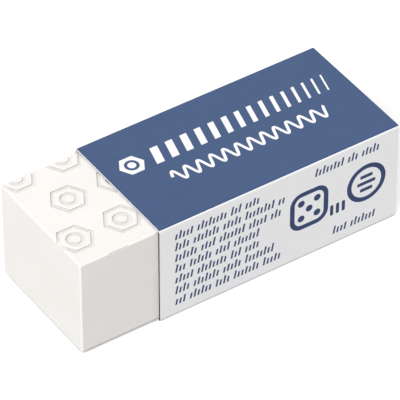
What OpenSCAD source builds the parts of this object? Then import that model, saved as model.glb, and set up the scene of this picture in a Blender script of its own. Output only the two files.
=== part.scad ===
// Vinyl eraser block in a folded card sleeve.
// X runs along the block, Y across it and Z up. The origin is on the surface that
// the sleeve rests on, under the middle of the block. Sizes are in millimetres.

/* [Eraser block] */
// Length of the block
block_length = 42; // [34:0.5:70]
// Width of the two large faces
block_width = 16.2; // [12:0.1:26]
// Thickness of the block, from one large face to the other
block_height = 12.7; // [8:0.1:18]
// Rounding of the four long edges
long_edge_radius = 0.2; // [0.1:0.05:1.2]
// Rounding of the edges round the two ends
end_edge_radius = 0.2; // [0.1:0.05:1.2]

/* [Embossed pattern] */
// Distance from one motif to the next in a row, and from one row to the next
motif_pitch = 6; // [5:0.1:9]
// Width of the six-sided outline, from corner to corner
motif_width = 4.8; // [4:0.1:5.2]
// Outer diameter of the ring inside the outline
ring_diameter = 2.2; // [1.6:0.1:2.6]
// Width of an embossed line
line_width = 0.5; // [0.2:0.05:0.6]
// Depth of an embossed line below the face
line_depth = 0.18; // [0.06:0.02:0.3]
// Distance from the open end of the block to the middle of the first motif in the first row
first_column = 5; // [3:0.1:8]
// Place of the first row of motifs, from the front side of the block. Below zero, it is cut off
first_row = -2; // [-2.4:0.1:5]

/* [Card sleeve] */
// Length of the sleeve, which ends flush with the far end of the block
sleeve_length = 32; // [16:0.5:34]
// Thickness of the card
card_thickness = 0.25; // [0.15:0.01:0.5]
// Clearance between the card and each narrow side of the block
side_clearance = 0.08; // [0.02:0.01:0.3]
// Clearance over the block, between its embossed face and the upper panel
upper_clearance = 0.1; // [0.02:0.01:0.4]
// Clearance under the block, where it rests on the lower panel
lower_clearance = 0.03; // [0.02:0.01:0.2]
// Radius of the inner surface of a fold
fold_inner_radius = 0.08; // [0.06:0.02:0.26]
// Distance from the free edge of the glued flap down to the lower panel
flap_shortfall = 1.4; // [0.5:0.1:4]
// Distance from the upper rear fold down to the free edge of the rear panel
rear_edge_drop = 0.3; // [0.1:0.05:3]

/* [Hidden] */
$fn = 48;
// A cutter reaches this far past the surface that it opens
overcut = 1;

block_floor = card_thickness + lower_clearance;
block_top = block_floor + block_height;
block_end = block_length / 2;

cavity_side = block_width / 2 + side_clearance;
cavity_floor = card_thickness;
cavity_ceiling = block_top + upper_clearance;
sleeve_top = cavity_ceiling + card_thickness;
flap_outside = cavity_side + card_thickness;
rear_outside = flap_outside + card_thickness;
fold_outer_radius = fold_inner_radius + card_thickness;

// Every other row lies this much nearer to the open end
row_shift = motif_pitch / 2;
// The last column and row may lie past the edge, where nothing of them is left
last_column = ceil(block_length / motif_pitch);
last_row = ceil(block_width / motif_pitch);

// A rectangle with round corners, centred on the origin
module rounded_rectangle(length, width, radius) {
    square([length - 2 * radius, width], center = true);
    square([length, width - 2 * radius], center = true);
    for (x = [-1, 1], y = [-1, 1])
        translate([x * (length / 2 - radius), y * (width / 2 - radius)])
            circle(r = radius);
}

// The bare block: its three outlines, each run through the block, share this volume
module rounded_block() {
    translate([0, 0, block_floor + block_height / 2])
        intersection() {
            rotate([90, 0, 90])
                linear_extrude(height = block_length, center = true)
                    rounded_rectangle(block_width, block_height, long_edge_radius);
            rotate([90, 0, 0])
                linear_extrude(height = block_width, center = true)
                    rounded_rectangle(block_length, block_height, end_edge_radius);
            linear_extrude(height = block_height, center = true)
                rounded_rectangle(block_length, block_width, end_edge_radius);
        }
}

// One motif: a six-sided outline round a ring
module motif() {
    difference() {
        circle(d = motif_width, $fn = 6);
        circle(d = motif_width - 2 * line_width / cos(30), $fn = 6);
    }
    difference() {
        circle(d = ring_diameter);
        circle(d = ring_diameter - 2 * line_width);
    }
}

// The motifs in staggered rows, run off the edges where the block was cut
module embossing() {
    translate([first_column - block_end, first_row - block_width / 2])
        for (column = [0 : last_column], row = [0 : last_row])
            translate([column * motif_pitch - row % 2 * row_shift, row * motif_pitch])
                motif();
}

// The vinyl block, with the pattern pressed into its upper face
module eraser_block() {
    color("ivory")
        difference() {
            rounded_block();
            translate([0, 0, block_top - line_depth])
                linear_extrude(height = line_depth + overcut)
                    embossing();
        }
}

// A flat panel of card, seen in section between two corners
module panel(low, high) {
    translate(low)
        square(high - low);
}

// A fold, seen in section: a quarter ring whose outside points along the angle's quadrant
module fold(centre, angle) {
    translate(centre)
        rotate(angle)
            intersection() {
                difference() {
                    circle(r = fold_outer_radius);
                    circle(r = fold_inner_radius);
                }
                square(fold_outer_radius);
            }
}

// The card's section, from the glued flap round the block to the rear panel outside it
module card_section() {
    low = cavity_floor + fold_inner_radius;
    high = cavity_ceiling - fold_inner_radius;
    front = -cavity_side + fold_inner_radius;
    flap = cavity_side - fold_inner_radius;
    rear = flap_outside - fold_inner_radius;
    panel([cavity_side, cavity_floor + flap_shortfall], [flap_outside, high]);
    fold([flap, high], 0);
    panel([front, cavity_ceiling], [flap, sleeve_top]);
    fold([front, high], 90);
    panel([-flap_outside, low], [-cavity_side, high]);
    fold([front, low], 180);
    panel([front, 0], [rear, cavity_floor]);
    fold([rear, low], -90);
    panel([flap_outside, low], [rear_outside, high - rear_edge_drop]);
}

// The sleeve: one strip of card folded round the block and glued down the rear side
module card_sleeve() {
    color("steelblue")
        translate([block_end - sleeve_length, 0, 0])
            rotate([90, 0, 90])
                linear_extrude(height = sleeve_length)
                    card_section();
}

eraser_block();
card_sleeve();
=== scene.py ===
import math
from itertools import cycle

import bmesh
import bpy
import numpy as np
from mathutils import Matrix, Vector
from mathutils.geometry import delaunay_2d_cdt


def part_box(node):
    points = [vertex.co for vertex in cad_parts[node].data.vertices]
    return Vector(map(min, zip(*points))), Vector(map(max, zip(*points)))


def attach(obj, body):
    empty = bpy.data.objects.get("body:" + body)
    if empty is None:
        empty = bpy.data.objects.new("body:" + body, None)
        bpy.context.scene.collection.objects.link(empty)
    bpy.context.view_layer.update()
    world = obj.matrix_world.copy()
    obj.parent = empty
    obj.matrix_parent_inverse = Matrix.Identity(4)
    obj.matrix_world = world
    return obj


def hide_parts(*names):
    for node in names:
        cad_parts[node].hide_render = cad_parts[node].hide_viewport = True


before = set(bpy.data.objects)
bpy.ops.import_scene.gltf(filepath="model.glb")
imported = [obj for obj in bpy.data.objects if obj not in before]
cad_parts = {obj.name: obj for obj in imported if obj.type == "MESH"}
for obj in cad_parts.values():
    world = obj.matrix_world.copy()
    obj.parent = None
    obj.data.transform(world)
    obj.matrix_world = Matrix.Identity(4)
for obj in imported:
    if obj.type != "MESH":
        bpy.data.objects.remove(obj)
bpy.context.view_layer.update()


# ---------------------------------------------------------------------------------------
# Eraser block. One block of soft white vinyl, extruded, cut to length and tumbled until its
# edges are slightly round. A roller pressed thin grooves into its upper face before it was
# cut, so the motifs run off the edges. Only the grip of the card sleeve holds it.
MM = 0.001

block_low, block_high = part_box("eraser_block")
block_half = (block_high - block_low) / 2
block_middle = (block_high + block_low) / 2
edge_radius = 0.2 * MM
edge_steps = 5
edge_margin = 0.03 * MM

motif_pitch = 6 * MM
motif_width = 4.8 * MM
ring_diameter = 2.2 * MM
ring_sides = 48
groove_width = 0.5 * MM
groove_depth = 0.18 * MM
wall_lean = 0.085 * MM
# Every other row lies this much nearer to the bare end
row_shift = motif_pitch / 2
# Middle of the first motif, from the bare end and from the front side, which cuts it off
first_motif = (5 * MM, -2 * MM)

# Edges softer than this are shaded as one surface
smooth_angle = math.radians(38)
weld_distance = 0.0005 * MM


def cuts_across(half):
    """Grid lines from one side of the block to the other, close together on its edges."""
    flat = half - edge_radius
    upper = [flat - edge_margin, flat]
    for step in range(1, edge_steps + 1):
        upper.append(flat + edge_radius * math.tan(math.radians(45 * step / edge_steps)))
    return [-place for place in reversed(upper)] + upper


def rounded_block():
    """The bare block with its rounded edges: six grids, each point drawn in to the rounding."""
    cuts = [cuts_across(half) for half in block_half]
    inner = [half - edge_radius for half in block_half]
    points, faces = [], []
    for axis in range(3):
        across, along = (axis + 1) % 3, (axis + 2) % 3
        for side in (-1, 1):
            start = len(points)
            for first in cuts[across]:
                for second in cuts[along]:
                    place = [0.0, 0.0, 0.0]
                    place[axis] = side * block_half[axis]
                    place[across], place[along] = first, second
                    core = [max(-inner[i], min(inner[i], place[i])) for i in range(3)]
                    lean = Vector([(place[i] - core[i]) / edge_radius for i in range(3)])
                    lean.normalize()
                    points.append(
                        [block_middle[i] + core[i] + lean[i] * edge_radius for i in range(3)]
                    )
            rows, columns = len(cuts[across]), len(cuts[along])
            for row in range(rows - 1):
                for column in range(columns - 1):
                    corner = start + row * columns + column
                    loop = (corner, corner + columns, corner + columns + 1, corner + 1)
                    faces.append(loop if side > 0 else loop[::-1])
    mesh = bpy.data.meshes.new("vinyl_block")
    mesh.from_pydata(points, [], faces)
    return mesh


def join_doubles(mesh):
    """Merges what lies together and turns every face outwards."""
    work = bmesh.new()
    work.from_mesh(mesh)
    bmesh.ops.remove_doubles(work, verts=work.verts, dist=weld_distance)
    bmesh.ops.recalc_face_normals(work, faces=work.faces)
    work.to_mesh(mesh)
    work.free()


def shade_smooth(mesh):
    """Smooth shading, with the sharp edges kept sharp."""
    mesh.polygons.foreach_set("use_smooth", [True] * len(mesh.polygons))
    mesh.set_sharp_from_angle(angle=smooth_angle)


class Tree:
    """Adds and wires the nodes of one tree."""

    def __init__(self, tree):
        self.tree = tree

    def add(self, kind, settings=None, **sockets):
        """A new node with its settings, and a value or a link for each socket named."""
        node = self.tree.nodes.new(kind)
        for name, value in (settings or {}).items():
            setattr(node, name, value)
        for name, value in sockets.items():
            self.feed(node, name.replace("_", " "), value)
        return node

    def feed(self, node, name, value):
        """Links a socket to an input of a node, or sets the input to a plain value."""
        socket = node.inputs[name]
        if isinstance(value, bpy.types.NodeSocket):
            self.tree.links.new(value, socket)
        else:
            socket.default_value = value

    def calculate(self, operation, *values):
        """The result of a sum, such as SUBTRACT or ABSOLUTE, on the values in their order."""
        node = self.add("ShaderNodeMath", {"operation": operation})
        for position, value in enumerate(values):
            self.feed(node, position, value)
        return node.outputs[0]


def pressed_pattern_tree():
    """Geometry nodes: a flared groove along each line of each motif is cut out of the block."""
    group = bpy.data.node_groups.new("pressed_pattern", "GeometryNodeTree")
    inputs = {
        "Block": "NodeSocketGeometry",
        "Pitch": "NodeSocketFloat",
        "Row Shift": "NodeSocketFloat",
        "Outline Radius": "NodeSocketFloat",
        "Ring Radius": "NodeSocketFloat",
        "Cutter Height": "NodeSocketFloat",
        "Floor Width": "NodeSocketFloat",
        "Cutter Width": "NodeSocketFloat",
        "Columns": "NodeSocketInt",
        "Rows": "NodeSocketInt",
        "Pattern Middle": "NodeSocketVector",
        "Vinyl": "NodeSocketMaterial",
    }
    for name, kind in inputs.items():
        group.interface.new_socket(name, in_out="INPUT", socket_type=kind)
    group.interface.new_socket("Geometry", in_out="OUTPUT", socket_type="NodeSocketGeometry")

    nodes = Tree(group)
    given = nodes.add("NodeGroupInput").outputs
    spans = [
        nodes.calculate("MULTIPLY", nodes.calculate("SUBTRACT", given[count], 1.0), given["Pitch"])
        for count in ("Columns", "Rows")
    ]
    places = nodes.add(
        "GeometryNodeMeshGrid",
        Size_X=spans[0],
        Size_Y=spans[1],
        Vertices_X=given["Columns"],
        Vertices_Y=given["Rows"],
    )
    # The points of the grid are numbered up each column, so every odd row can be set back
    number = nodes.add("GeometryNodeInputIndex").outputs[0]
    odd_row = nodes.calculate("MODULO", nodes.calculate("MODULO", number, given["Rows"]), 2.0)
    set_back = nodes.add(
        "ShaderNodeCombineXYZ", X=nodes.calculate("MULTIPLY", odd_row, given["Row Shift"])
    )
    staggered = nodes.add(
        "GeometryNodeSetPosition", Geometry=places.outputs[0], Offset=set_back.outputs[0]
    )
    # One motif is two closed lines, and the cutter runs along both
    outline = nodes.add(
        "GeometryNodeCurvePrimitiveCircle", Resolution=6, Radius=given["Outline Radius"]
    )
    ring = nodes.add(
        "GeometryNodeCurvePrimitiveCircle", Resolution=ring_sides, Radius=given["Ring Radius"]
    )
    motif = nodes.add("GeometryNodeJoinGeometry")
    group.links.new(outline.outputs[0], motif.inputs[0])
    group.links.new(ring.outputs[0], motif.inputs[0])
    section = nodes.add(
        "GeometryNodeCurvePrimitiveQuadrilateral",
        {"mode": "TRAPEZOID"},
        Height=given["Cutter Height"],
        Bottom_Width=given["Floor Width"],
        Top_Width=given["Cutter Width"],
        Offset=0.0,
    )
    cutter = nodes.add("GeometryNodeCurveToMesh")
    nodes.feed(cutter, 0, motif.outputs[0])
    nodes.feed(cutter, 1, section.outputs[0])
    # Only the walls of a groove are marked: their faces point sideways
    facing = nodes.add("GeometryNodeInputNormal").outputs[0]
    upward = nodes.add("ShaderNodeSeparateXYZ", Vector=facing).outputs["Z"]
    marked = nodes.add(
        "GeometryNodeStoreNamedAttribute",
        {"data_type": "FLOAT", "domain": "FACE"},
        Geometry=cutter.outputs[0],
        Name="groove_wall",
        Value=nodes.calculate("SUBTRACT", 1.0, nodes.calculate("ABSOLUTE", upward)),
    )
    repeats = nodes.add(
        "GeometryNodeInstanceOnPoints", Points=staggered.outputs[0], Instance=marked.outputs[0]
    )
    real = nodes.add("GeometryNodeRealizeInstances", Geometry=repeats.outputs[0])
    placed = nodes.add(
        "GeometryNodeTransform", Geometry=real.outputs[0], Translation=given["Pattern Middle"]
    )
    cut = nodes.add("GeometryNodeMeshBoolean", {"operation": "DIFFERENCE", "solver": "MANIFOLD"})
    nodes.feed(cut, 0, given["Block"])
    nodes.feed(cut, 1, placed.outputs[0])
    whole = nodes.add("GeometryNodeRealizeInstances", Geometry=cut.outputs[0])
    finish = nodes.add(
        "GeometryNodeSetMaterial", Geometry=whole.outputs[0], Material=given["Vinyl"]
    )
    group.links.new(finish.outputs[0], nodes.add("NodeGroupOutput").inputs[0])
    return group


def new_material(name):
    """An empty node material and the helper that fills it."""
    material = bpy.data.materials.new(name)
    material.use_nodes = True
    material.node_tree.nodes.clear()
    return material, Tree(material.node_tree)


def grain(nodes, place, size, detail=2.0, roughness=0.5, stretch=(1, 1, 1)):
    """Noise from 0 to 1 whose lumps measure about the given size."""
    mapped = nodes.add("ShaderNodeMapping", Vector=place, Scale=stretch)
    noise = nodes.add(
        "ShaderNodeTexNoise",
        Vector=mapped.outputs[0],
        Scale=1 / size,
        Detail=detail,
        Roughness=roughness,
    )
    return noise.outputs[0]


def between(nodes, factor, low, high, from_low=0.3, from_high=0.7):
    """A number that runs from low to high as the factor crosses its middle range."""
    span = nodes.add(
        "ShaderNodeMapRange",
        Value=factor,
        From_Min=from_low,
        From_Max=from_high,
        To_Min=low,
        To_Max=high,
    )
    return span.outputs[0]


def blend_colours(nodes, factor, first, second):
    """A mix of two colours, from the first at 0 to the second at 1."""
    mix = nodes.add("ShaderNodeMix", {"data_type": "RGBA"})
    nodes.feed(mix, 0, factor)
    nodes.feed(mix, 6, first)
    nodes.feed(mix, 7, second)
    return mix.outputs[2]


def white_vinyl():
    """Matt white vinyl: a little light enters it, and its skin has a fine dull grain."""
    material, nodes = new_material("white_vinyl")
    place = nodes.add("ShaderNodeTexCoord").outputs["Object"]
    clouds = grain(nodes, place, 5 * MM, detail=3)
    skin = grain(nodes, place, 0.16 * MM, detail=3, roughness=0.6)
    dimples = grain(nodes, place, 0.9 * MM, detail=2)
    darker_vinyl, lighter_vinyl = (0.835, 0.814, 0.781, 1), (0.855, 0.837, 0.806, 1)
    clean = blend_colours(nodes, between(nodes, clouds, 0, 1), darker_vinyl, lighter_vinyl)
    # The walls of the grooves are painted much darker, as painted shade in the recesses, so that
    # lines this thin can be made out
    painted_groove_shade = (0.33, 0.322, 0.308, 1)
    wall = nodes.add("ShaderNodeAttribute", {"attribute_name": "groove_wall"}).outputs["Fac"]
    fine = nodes.add("ShaderNodeBump", Strength=0.25, Distance=0.006 * MM, Height=skin)
    broad = nodes.add("ShaderNodeBump", Strength=0.3, Distance=0.012 * MM, Height=dimples)
    nodes.feed(broad, "Normal", fine.outputs[0])
    surface = nodes.add(
        "ShaderNodeBsdfPrincipled",
        Base_Color=blend_colours(nodes, wall, clean, painted_groove_shade),
        Roughness=between(nodes, dimples, 0.5, 0.6),
        IOR=1.45,
        Normal=broad.outputs[0],
        Subsurface_Weight=0.12,
        Subsurface_Radius=(1.0, 0.9, 0.75),
        Subsurface_Scale=0.3 * MM,
    )
    nodes.add("ShaderNodeOutputMaterial", Surface=surface.outputs[0])
    return material


# One motif more than the block holds: the last ones may lie past its edges
columns = math.ceil(2 * block_half.x / motif_pitch) + 1
rows = math.ceil(2 * block_half.y / motif_pitch) + 1
pattern_inputs = {
    "Pitch": motif_pitch,
    "Row Shift": -row_shift,
    "Outline Radius": (motif_width - groove_width / math.cos(math.radians(30))) / 2,
    "Ring Radius": (ring_diameter - groove_width) / 2,
    "Cutter Height": 2 * groove_depth,
    "Floor Width": groove_width - 2 * wall_lean,
    "Cutter Width": groove_width + 2 * wall_lean,
    "Columns": columns,
    "Rows": rows,
    "Pattern Middle": (
        block_low.x + first_motif[0] + motif_pitch * (columns - 1) / 2,
        block_low.y + first_motif[1] + motif_pitch * (rows - 1) / 2,
        block_high.z,
    ),
    "Vinyl": white_vinyl(),
}

bare_mesh = rounded_block()
join_doubles(bare_mesh)
bare_block = bpy.data.objects.new("bare_block", bare_mesh)
bpy.context.collection.objects.link(bare_block)
pressing = bare_block.modifiers.new("pressed_pattern", "NODES")
pressing.node_group = pressed_pattern_tree()
for socket in pressing.node_group.interface.items_tree:
    if socket.in_out == "INPUT" and socket.name in pattern_inputs:
        pressing[socket.identifier] = pattern_inputs[socket.name]

view_of_block = bare_block.evaluated_get(bpy.context.evaluated_depsgraph_get())
pressed_mesh = bpy.data.meshes.new_from_object(view_of_block)
bpy.data.objects.remove(bare_block)
shade_smooth(pressed_mesh)
vinyl_block = bpy.data.objects.new("vinyl_block", pressed_mesh)
bpy.context.collection.objects.link(vinyl_block)
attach(vinyl_block, "block")
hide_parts("eraser_block")


# ---------------------------------------------------------------------------------------
# Card sleeve. One strip of coated card, printed flat with blue fields and marks in a deeper
# blue, creased, folded round the block and glued where the rear panel laps over the flap.
# Its inside and its cut edges are bare card; the cut edges carry painted shade at the gap and down
# the mouth's front.
sleeve_low, sleeve_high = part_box("card_sleeve")
card = 0.25 * MM
glue_gap = 0.01 * MM
fold_inside = 0.08 * MM
fold_outside = fold_inside + card
flap_shortfall = 1.4 * MM
rear_edge_drop = 0.3 * MM
fold_steps = 8
panel_margin = 0.03 * MM
# Places along the strip that are closer than this are one
same_place = 1e-12

left_cut, right_cut = sleeve_low.x, sleeve_high.x
front_face, rear_face = sleeve_low.y, sleeve_high.y
upper_face = sleeve_high.z
flap_face = rear_face - card

# The flat strip runs from the free edge of the flap over the top, down the front, under
# the block and up the rear panel. Each entry is a stretch of it: where its outside starts
# and which way it runs, or the middle of a fold and the angle at which the fold starts.
low_fold, high_fold = fold_outside, upper_face - fold_outside
front_fold, rear_fold = front_face + fold_outside, rear_face - fold_outside
flap_fold, flap_end = flap_face - fold_outside, card + flap_shortfall
strip = [
    ("flat", (flap_face, flap_end), (0, 1), high_fold - flap_end),
    ("fold", (flap_fold, high_fold), 0),
    ("flat", (flap_fold, upper_face), (-1, 0), flap_fold - front_fold),
    ("fold", (front_fold, high_fold), 90),
    ("flat", (front_face, high_fold), (0, -1), high_fold - low_fold),
    ("fold", (front_fold, low_fold), 180),
    ("flat", (front_fold, 0), (1, 0), rear_fold - front_fold),
    ("fold", (rear_fold, low_fold), 270),
    ("flat", (rear_face, low_fold), (0, 1), high_fold - rear_edge_drop - low_fold),
]
fold_length = fold_outside * math.pi / 2
starts = [0.0]
for stretch in strip:
    starts.append(starts[-1] + (fold_length if stretch[0] == "fold" else stretch[3]))
flap_fold_start, top_start, front_start = starts[1], starts[2], starts[4]
floor_start, rear_fold_start = starts[6], starts[7]


def folded(run):
    """Where a place on the flat strip lies after folding: outside (y, z), inside (y, z)."""
    stretch = max(i for i in range(len(strip)) if starts[i] <= run + same_place)
    kind, base, way = strip[stretch][:3]
    past = run - starts[stretch]
    if kind == "fold":
        angle = math.radians(way + 90 * past / fold_length)
        out = (math.cos(angle), math.sin(angle))
        outer = [base[i] + out[i] * fold_outside for i in (0, 1)]
        inner = [base[i] + out[i] * fold_inside for i in (0, 1)]
    else:
        out = (way[1], -way[0])
        outer = [base[i] + way[i] * past for i in (0, 1)]
        inner = [outer[i] - out[i] * card for i in (0, 1)]
    # The glued layers stand a hair apart, as the two sheets do
    if stretch == 0:
        outer[0] -= glue_gap
    if stretch == len(strip) - 1:
        inner[0] += glue_gap
    return outer, inner


# The print, as outlines on the flat strip. On the top a place is given by its distance
# along the block and across it, on the front by its distance along it and its height.
# All the measures of the print are in millimetres.
BARE, BLUE, DEEP_BLUE, BACK, CUT = range(5)

# The two blue fields run across the whole strip. The first is printed over the flap's
# fold and the top to the middle of the front fold, the second over the underside.
blue_fields = [
    (flap_fold_start, front_start - fold_length / 2),
    (floor_start, rear_fold_start),
]
print_shapes = []


def on_top(x, y):
    return (x * MM, top_start + flap_fold - y * MM)


def on_front(x, z):
    return (x * MM, front_start + high_fold - z * MM)


def ink(outline, place, colour):
    """Adds a shape to the print, on the top or on the front."""
    print_shapes.append((np.array([place(*point) for point in outline]), colour))


def regular(x, y, radius, sides):
    """A regular outline with this many sides, or a circle when there are many."""
    turn = 2 * math.pi / sides
    return [
        (x + radius * math.cos(turn * k), y + radius * math.sin(turn * k)) for k in range(sides)
    ]


def round_box(x, y, half_width, half_height, radius, steps=4):
    """A rectangle with round corners, about its middle."""
    points = []
    for across, up, start in ((1, 1, 0), (-1, 1, 90), (-1, -1, 180), (1, -1, 270)):
        corner_x = x + across * (half_width - radius)
        corner_y = y + up * (half_height - radius)
        for k in range(steps + 1):
            angle = math.radians(start + 90 * k / steps)
            reach = (radius * math.cos(angle), radius * math.sin(angle))
            points.append((corner_x + reach[0], corner_y + reach[1]))
    return points


# Emblem on the top: a six-sided badge with a ring in it, like the pressed motifs
badge_x, badge_y = -7.45, 2.45
badge_radius, badge_ring, badge_dot = 1.6, 0.88, 0.5
ink(regular(badge_x, badge_y, badge_radius, sides=6), on_top, BARE)
ink(regular(badge_x, badge_y, badge_ring, sides=48), on_top, BLUE)
ink(regular(badge_x, badge_y, badge_dot, sides=36), on_top, BARE)

# Bold row on the top: leaning bars that grow narrower
bar_count, bar_gap, bar_lean = 15, 1.0, 0.7
widest_bar, narrowest_bar = 1.65, 0.35
row_start, row_end, row_low, row_high = -5.0, 18.9, 1.05, 3.75
bar_mean = (row_end - row_start - bar_lean - bar_gap * (bar_count - 1)) / bar_count
bar_start = row_start
for bar in range(bar_count):
    share = widest_bar + (narrowest_bar - widest_bar) * bar / (bar_count - 1)
    bar_end = bar_start + bar_mean * share
    leaning = [
        (bar_start, row_low),
        (bar_end, row_low),
        (bar_end + bar_lean, row_high),
        (bar_start + bar_lean, row_high),
    ]
    ink(leaning, on_top, BARE)
    bar_start = bar_end + bar_gap

# Light row under it: one wavy line, drawn as with a pencil
wave_start, wave_end, wave_middle = -4.8, 16.0, -1.75
wave_height, wave_length, wave_stroke = 0.9, 1.7, 0.36
points_per_wave = 16
wave_points = points_per_wave * round((wave_end - wave_start) / wave_length)
upper_side, lower_side = [], []
for k in range(wave_points + 1):
    x = wave_start + (wave_end - wave_start) * k / wave_points
    phase = 2 * math.pi * (x - wave_start) / wave_length
    slope = wave_height * 2 * math.pi / wave_length * math.cos(phase)
    reach = wave_stroke / 2 / math.hypot(1, slope)
    y = wave_middle + wave_height * math.sin(phase)
    upper_side.append((x - slope * reach, y + reach))
    lower_side.append((x + slope * reach, y - reach))
ink(upper_side + lower_side[::-1], on_top, BARE)

# Small print on the front: rows of fine leaning ticks of uneven height, set in groups
tick_stroke, tick_pitch, group_gap, tick_lean = 0.25, 0.5, 0.42, 0.2
tick_heights = cycle((0.78, 1.12, 0.78, 0.78, 1.0, 0.78, 1.12))
group_sizes = cycle((5, 8, 3, 6, 4, 7))
block_of_rows_x, first_row_z, row_pitch = -9.0, 11.0, 1.585
row_ends = (2.3, 5.7, 5.1, 2.9, 2.1, 4.2, 5.8)


def tick_row(x, z, end):
    """A row of ticks from x on, standing on the line at z, with a group cut short at the end."""
    while end - x > 1.5 * tick_pitch:
        for _ in range(min(next(group_sizes), round((end - x) / tick_pitch))):
            height = next(tick_heights)
            lean = tick_lean * height
            corners = [(x, z), (x + tick_stroke, z)]
            corners += [(x + tick_stroke + lean, z + height), (x + lean, z + height)]
            ink(corners, on_front, DEEP_BLUE)
            x += tick_pitch
        x += group_gap


for row, end in enumerate(row_ends):
    tick_row(block_of_rows_x, first_row_z - row_pitch * row, end)

# First mark beside it: a rounded square round five dots
square_x, square_z = 8.9, 7.0
square_half, square_corner, square_line = (2.6, 2.7), 1.6, 0.63
dot_radius, dot_spread = 0.46, 1.08
for inset, colour in ((0, DEEP_BLUE), (square_line, BARE)):
    half_width, half_height = (half - inset for half in square_half)
    outline = round_box(
        square_x, square_z, half_width, half_height, square_corner - inset, steps=8
    )
    ink(outline, on_front, colour)
for across, up in ((0, 0), (-1, -1), (1, -1), (1, 1), (-1, 1)):
    dot_x, dot_z = square_x + dot_spread * across, square_z + dot_spread * up
    ink(regular(dot_x, dot_z, dot_radius, sides=24), on_front, DEEP_BLUE)

# Second mark: a ring round three bars
ring_x, ring_z, ring_outside, ring_inside = 16.7, 7.05, 2.65, 2.03
ink(regular(ring_x, ring_z, ring_outside, sides=72), on_front, DEEP_BLUE)
ink(regular(ring_x, ring_z, ring_inside, sides=64), on_front, BARE)
bar_pitch, bar_half_height, bar_corner = 0.95, 0.24, 0.15
for up, half_length in ((1, 0.85), (0, 1.25), (-1, 0.85)):
    bar_z = ring_z + bar_pitch * up
    ink(round_box(ring_x, bar_z, half_length, bar_half_height, bar_corner), on_front, DEEP_BLUE)

# Three short upright bars between the marks, at their foot
foot_z, foot_half_width, foot_half_height, foot_corner = 5.15, 0.22, 0.75, 0.18
for x in (12.0, 12.8, 13.6):
    ink(round_box(x, foot_z, foot_half_width, foot_half_height, foot_corner), on_front, DEEP_BLUE)

# Two short lines of ticks over and under the marks
tick_row(x=9.6, z=11.15, end=18.4)
tick_row(x=12.2, z=1.5, end=18.4)


def crease_lines():
    """Places along the strip where the card needs a line of points."""
    lines = [edge for field in blue_fields for edge in field]
    for i, stretch in enumerate(strip):
        start, end = starts[i], starts[i + 1]
        if stretch[0] == "fold":
            lines += [start + fold_length * k / fold_steps for k in range(fold_steps + 1)]
        else:
            lines += [start, start + panel_margin, end - panel_margin, end]
    return sorted(set(round(line, 9) for line in lines))


def inside(points, outline):
    """Which points lie inside an outline."""
    x, y = points[:, 0:1], points[:, 1:2]
    x0, y0 = outline[:, 0], outline[:, 1]
    x1, y1 = np.roll(x0, -1), np.roll(y0, -1)
    crosses = (y0 > y) != (y1 > y)
    rise = np.where(y1 == y0, 1.0, y1 - y0)
    return (np.where(crosses, x < x0 + (y - y0) / rise * (x1 - x0), False).sum(1) % 2) == 1


def cut_flat_strip(creases):
    """The flat strip in triangles that follow its creases and its print, and their colours."""
    # In millimetres, so that the triangulation works with handy numbers
    points, lines = [], []
    for line in creases:
        lines.append((len(points), len(points) + 1))
        points += [(left_cut / MM, line / MM), (right_cut / MM, line / MM)]
    for start in range(0, len(points) - 2, 2):
        lines += [(start, start + 2), (start + 1, start + 3)]
    for shape, _ in print_shapes:
        start, count = len(points), len(shape)
        points += [(x / MM, run / MM) for x, run in shape]
        lines += [(start + k, start + (k + 1) % count) for k in range(count)]
    whole_area, touching = 0, 1e-5
    found = delaunay_2d_cdt([Vector(p) for p in points], lines, [], whole_area, touching)
    flat_points = np.array([tuple(p) for p in found[0]]) * MM
    triangles = np.array(found[2])
    centres = flat_points[triangles].mean(1)
    colours = np.full(len(triangles), BARE)
    for first, last in blue_fields:
        colours[(centres[:, 1] > first) & (centres[:, 1] < last)] = BLUE
    for shape, colour in print_shapes:
        colours[inside(centres, shape)] = colour
    return flat_points, triangles, colours


def sleeve_mesh():
    """The printed strip, folded, with its bare inside and its cut edges."""
    creases = crease_lines()
    flat_points, triangles, colours = cut_flat_strip(creases)
    verts = [(x, *folded(run)[0]) for x, run in flat_points]
    faces = [tuple(triangle) for triangle in triangles]
    finish = list(colours)
    # Four points to each crease: outside and inside, at the left cut and at the right
    lower = len(verts)
    for line in creases:
        outer, inner = folded(line)
        for x in (left_cut, right_cut):
            verts += [(x, *outer), (x, *inner)]
    for k in range(len(creases) - 1):
        here, after = lower + 4 * k, lower + 4 * (k + 1)
        faces.append((here + 1, here + 3, after + 3, after + 1))
        finish.append(BACK)
        for end in (0, 2):
            faces.append((here + end, here + end + 1, after + end + 1, after + end))
            finish.append(CUT)
    last = lower + 4 * (len(creases) - 1)
    for edge in (lower, last):
        faces.append((edge, edge + 1, edge + 3, edge + 2))
        finish.append(CUT)
    mesh = bpy.data.meshes.new("printed_sleeve")
    mesh.from_pydata(verts, [], faces)
    mesh.polygons.foreach_set("material_index", finish)
    mesh.update()
    return mesh


def card_material(name, light, dark, roughness, fibre_depth):
    """Card or ink on card: fine fibres in the surface and a faint uneven tone."""
    material, nodes = new_material(name)
    place = nodes.add("ShaderNodeTexCoord").outputs["Object"]
    tone = grain(nodes, place, 3 * MM, detail=4, roughness=0.6)
    # The fibres of the board lie along the sleeve
    fibres = grain(nodes, place, 0.12 * MM, detail=4, roughness=0.65, stretch=(0.35, 1, 1))
    colour = blend_colours(nodes, between(nodes, tone, 0, 1), dark, light)
    speckled = blend_colours(nodes, between(nodes, fibres, 0.0, 0.35), colour, light)
    bump = nodes.add("ShaderNodeBump", Strength=0.35, Distance=fibre_depth, Height=fibres)
    surface = nodes.add(
        "ShaderNodeBsdfPrincipled",
        Base_Color=speckled,
        Roughness=between(nodes, fibres, roughness - 0.05, roughness + 0.07),
        Normal=bump.outputs[0],
    )
    nodes.add("ShaderNodeOutputMaterial", Surface=surface.outputs[0])
    return material
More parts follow.
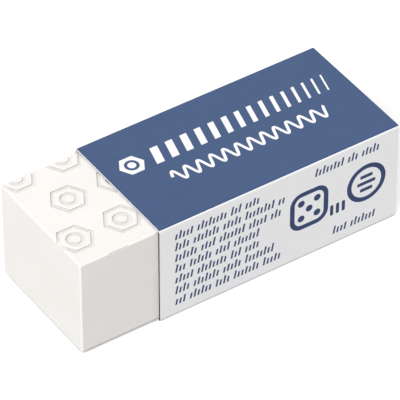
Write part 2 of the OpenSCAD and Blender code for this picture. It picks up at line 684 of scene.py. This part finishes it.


# How far the inner ply, painted near-black as painted shade of the gap between card and block,
# reaches out from the cavity, and how far in the painted shade down the mouth's front reaches from
# the front face. Each fades over a short band.
gap_shade_ply = (card * 0.34, card * 0.38)
mouth_shade_depth = (card * 0.66, card * 0.74)


def cut_card():
    """The sheared edge: a bright outer ply on an inner ply painted near-black as painted shade of
    the gap, with painted shade down the mouth's front.
    """
    material, nodes = new_material("cut_card")
    place = nodes.add("ShaderNodeTexCoord").outputs["Object"]
    fibres = grain(nodes, place, 0.06 * MM, detail=4, roughness=0.65)
    white_pulp, whiter_pulp = (0.8, 0.79, 0.775, 1), (0.88, 0.875, 0.865, 1)
    bright = blend_colours(nodes, between(nodes, fibres, 0, 1), white_pulp, whiter_pulp)
    axes = nodes.add("ShaderNodeSeparateXYZ", Vector=place).outputs
    # How far outside the cavity a place lies, on the side where it is furthest out
    depths = []
    for axis, middle, half in (
        ("Y", (front_face + flap_face) / 2, (flap_face - front_face) / 2 - card),
        ("Z", upper_face / 2, upper_face / 2 - card),
    ):
        reach = nodes.calculate("ABSOLUTE", nodes.calculate("SUBTRACT", axes[axis], middle))
        depths.append(nodes.calculate("SUBTRACT", reach, half))
    outside = nodes.calculate("MAXIMUM", *depths)
    # Painted shade: the inner ply is near-black for the gap under the cut edge, and darker still
    # down the mouth's front
    painted_gap_shade, painted_mouth_shade = (0.05, 0.049, 0.047, 1), (0.02, 0.019, 0.018, 1)
    plies_and_gap_shade = blend_colours(nodes, between(nodes, outside, 1, 0, *gap_shade_ply), bright, painted_gap_shade)
    # Painted shade only on the front panel, below the upper fold, and only at the mouth
    mouth_shade_mask = between(nodes, axes["Y"], 1, 0, *(front_face + depth for depth in mouth_shade_depth))
    for axis, low, high in (
        ("Z", high_fold, high_fold + fold_inside),
        ("X", left_cut + card, left_cut + 2 * card),
    ):
        mouth_shade_mask = nodes.calculate("MULTIPLY", mouth_shade_mask, between(nodes, axes[axis], 1, 0, low, high))
    bump = nodes.add("ShaderNodeBump", Strength=0.4, Distance=0.015 * MM, Height=fibres)
    surface = nodes.add(
        "ShaderNodeBsdfPrincipled",
        Base_Color=blend_colours(nodes, mouth_shade_mask, plies_and_gap_shade, painted_mouth_shade),
        Roughness=0.8,
        Normal=bump.outputs[0],
    )
    nodes.add("ShaderNodeOutputMaterial", Surface=surface.outputs[0])
    return material


# In the order of BARE, BLUE, DEEP_BLUE and BACK: name, lighter tone, darker tone, roughness
# and depth of the fibres in millimetres
card_finishes = (
    ("coated_card", (0.9, 0.898, 0.909, 1), (0.88, 0.878, 0.892, 1), 0.42, 0.004),
    ("blue_ink", (0.0318, 0.0735, 0.1825, 1), (0.026, 0.0655, 0.1695, 1), 0.45, 0.004),
    ("deep_blue_ink", (0.031, 0.056, 0.157, 1), (0.026, 0.049, 0.142, 1), 0.45, 0.004),
    ("card_back", (0.8, 0.79, 0.76, 1), (0.76, 0.75, 0.715, 1), 0.75, 0.012),
)

card_mesh = sleeve_mesh()
join_doubles(card_mesh)
for name, light, dark, roughness, fibre_depth in card_finishes:
    card_mesh.materials.append(card_material(name, light, dark, roughness, fibre_depth * MM))
card_mesh.materials.append(cut_card())
shade_smooth(card_mesh)
printed_sleeve = bpy.data.objects.new("printed_sleeve", card_mesh)
bpy.context.collection.objects.link(printed_sleeve)
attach(printed_sleeve, "sleeve")
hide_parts("card_sleeve")


# ---------------------------------------------------------------------------------------
# Studio. A wide white table under a soft key light from the left and above, a weak soft
# light that fills the rear, and a camera that looks down at the front side and the bare end.
table_size = 4.0
room_light = 0.58


def white_table():
    """Table that throws back little light, but looks plainly white with the shadow kept."""
    material, nodes = new_material("white_table")
    place = nodes.add("ShaderNodeTexCoord").outputs["Object"]
    tone = grain(nodes, place, 20 * MM, detail=2)
    dull_white, white = (0.97, 0.97, 0.97, 1), (0.98, 0.98, 0.98, 1)
    grey_gap, dim_white = (0.64, 0.64, 0.64, 1), (0.3, 0.3, 0.3, 1)
    colour = blend_colours(nodes, between(nodes, tone, 0, 1), dull_white, white)
    # The narrow gap round the foot of the object looks a little darker than light alone makes it
    gap_reach, gap_closed, gap_open = 1 * MM, 0.1, 0.6
    lift_in_gap, full_lift = 0.09, 0.21
    open_sky = nodes.add("ShaderNodeAmbientOcclusion", {"samples": 16}, Distance=gap_reach)
    openness = between(nodes, open_sky.outputs["AO"], 0, 1, gap_closed, gap_open)
    matt = nodes.add(
        "ShaderNodeBsdfDiffuse", Color=blend_colours(nodes, openness, grey_gap, colour)
    )
    lift = nodes.add(
        "ShaderNodeEmission",
        Color=(1, 1, 1, 1),
        Strength=between(nodes, openness, lift_in_gap, full_lift, 0, 1),
    )
    lifted = nodes.add("ShaderNodeAddShader")
    nodes.feed(lifted, 0, matt.outputs[0])
    nodes.feed(lifted, 1, lift.outputs[0])
    # The object itself gets only a little light back from the table
    dim = nodes.add("ShaderNodeBsdfDiffuse", Color=dim_white)
    seen = nodes.add("ShaderNodeMixShader")
    nodes.feed(seen, 0, nodes.add("ShaderNodeLightPath").outputs["Is Camera Ray"])
    nodes.feed(seen, 1, dim.outputs[0])
    nodes.feed(seen, 2, lifted.outputs[0])
    nodes.add("ShaderNodeOutputMaterial", Surface=seen.outputs[0])
    return material


half_table = table_size / 2
table_mesh = bpy.data.meshes.new("table")
table_mesh.from_pydata(
    [(x * half_table, y * half_table, 0) for x, y in ((-1, -1), (1, -1), (1, 1), (-1, 1))],
    [],
    [(0, 1, 2, 3)],
)
table_mesh.materials.append(white_table())
table = bpy.data.objects.new("table", table_mesh)
bpy.context.collection.objects.link(table)

# The room lights the object at an even level, and is plainly white to look at, in gloss too
world = bpy.data.worlds.new("studio")
bpy.context.scene.world = world
world.use_nodes = True
world.node_tree.nodes.clear()
room = Tree(world.node_tree)
paths = room.add("ShaderNodeLightPath").outputs
seen_plainly = paths["Is Camera Ray"]
for kind in ("Is Glossy Ray", "Is Transmission Ray"):
    seen_plainly = room.calculate("MAXIMUM", seen_plainly, paths[kind])
around = room.add("ShaderNodeBackground", Color=(1, 1, 1, 1), Strength=room_light)
white = room.add("ShaderNodeBackground", Color=(1, 1, 1, 1), Strength=1.0)
either = room.add("ShaderNodeMixShader")
room.feed(either, 0, seen_plainly)
room.feed(either, 1, around.outputs[0])
room.feed(either, 2, white.outputs[0])
room.add("ShaderNodeOutputWorld", Surface=either.outputs[0])


def soft_light(name, energy, spread, towards):
    """A wide, distant lamp, which stands in the given direction from the object."""
    data = bpy.data.lights.new(name, "SUN")
    data.energy = energy
    data.angle = math.radians(spread)
    lamp = bpy.data.objects.new(name, data)
    lamp.rotation_mode = "QUATERNION"
    lamp.rotation_quaternion = Vector(towards).to_track_quat("Z", "Y")
    bpy.context.collection.objects.link(lamp)
    return lamp


soft_light("key_light", energy=2.83, spread=50, towards=(-0.708, -0.436, 0.556))
rear_fill = soft_light("rear_fill", energy=0.75, spread=60, towards=(0.473, 0.841, 0.263))
# It stands low, and its glint on the top would be a veil over the print
rear_fill.visible_glossy = False

camera_data = bpy.data.cameras.new("camera")
camera_data.sensor_width = 36
camera_data.lens = 378
camera_data.clip_start, camera_data.clip_end = 0.01, 10
camera = bpy.data.objects.new("camera", camera_data)
bpy.context.collection.objects.link(camera)
camera_place = Vector((-197.06, -294.07, 313.62)) * MM
camera_right = Vector((0.8305, -0.55701, -0.00061)).normalized()
camera_up = Vector((0.36546, 0.54407, 0.75526)).normalized()
camera_turn = Matrix((camera_right, camera_up, camera_right.cross(camera_up))).transposed()
camera.matrix_world = Matrix.Translation(camera_place) @ camera_turn.to_4x4()
bpy.context.scene.camera = camera

bpy.context.scene.view_settings.view_transform = "Standard"
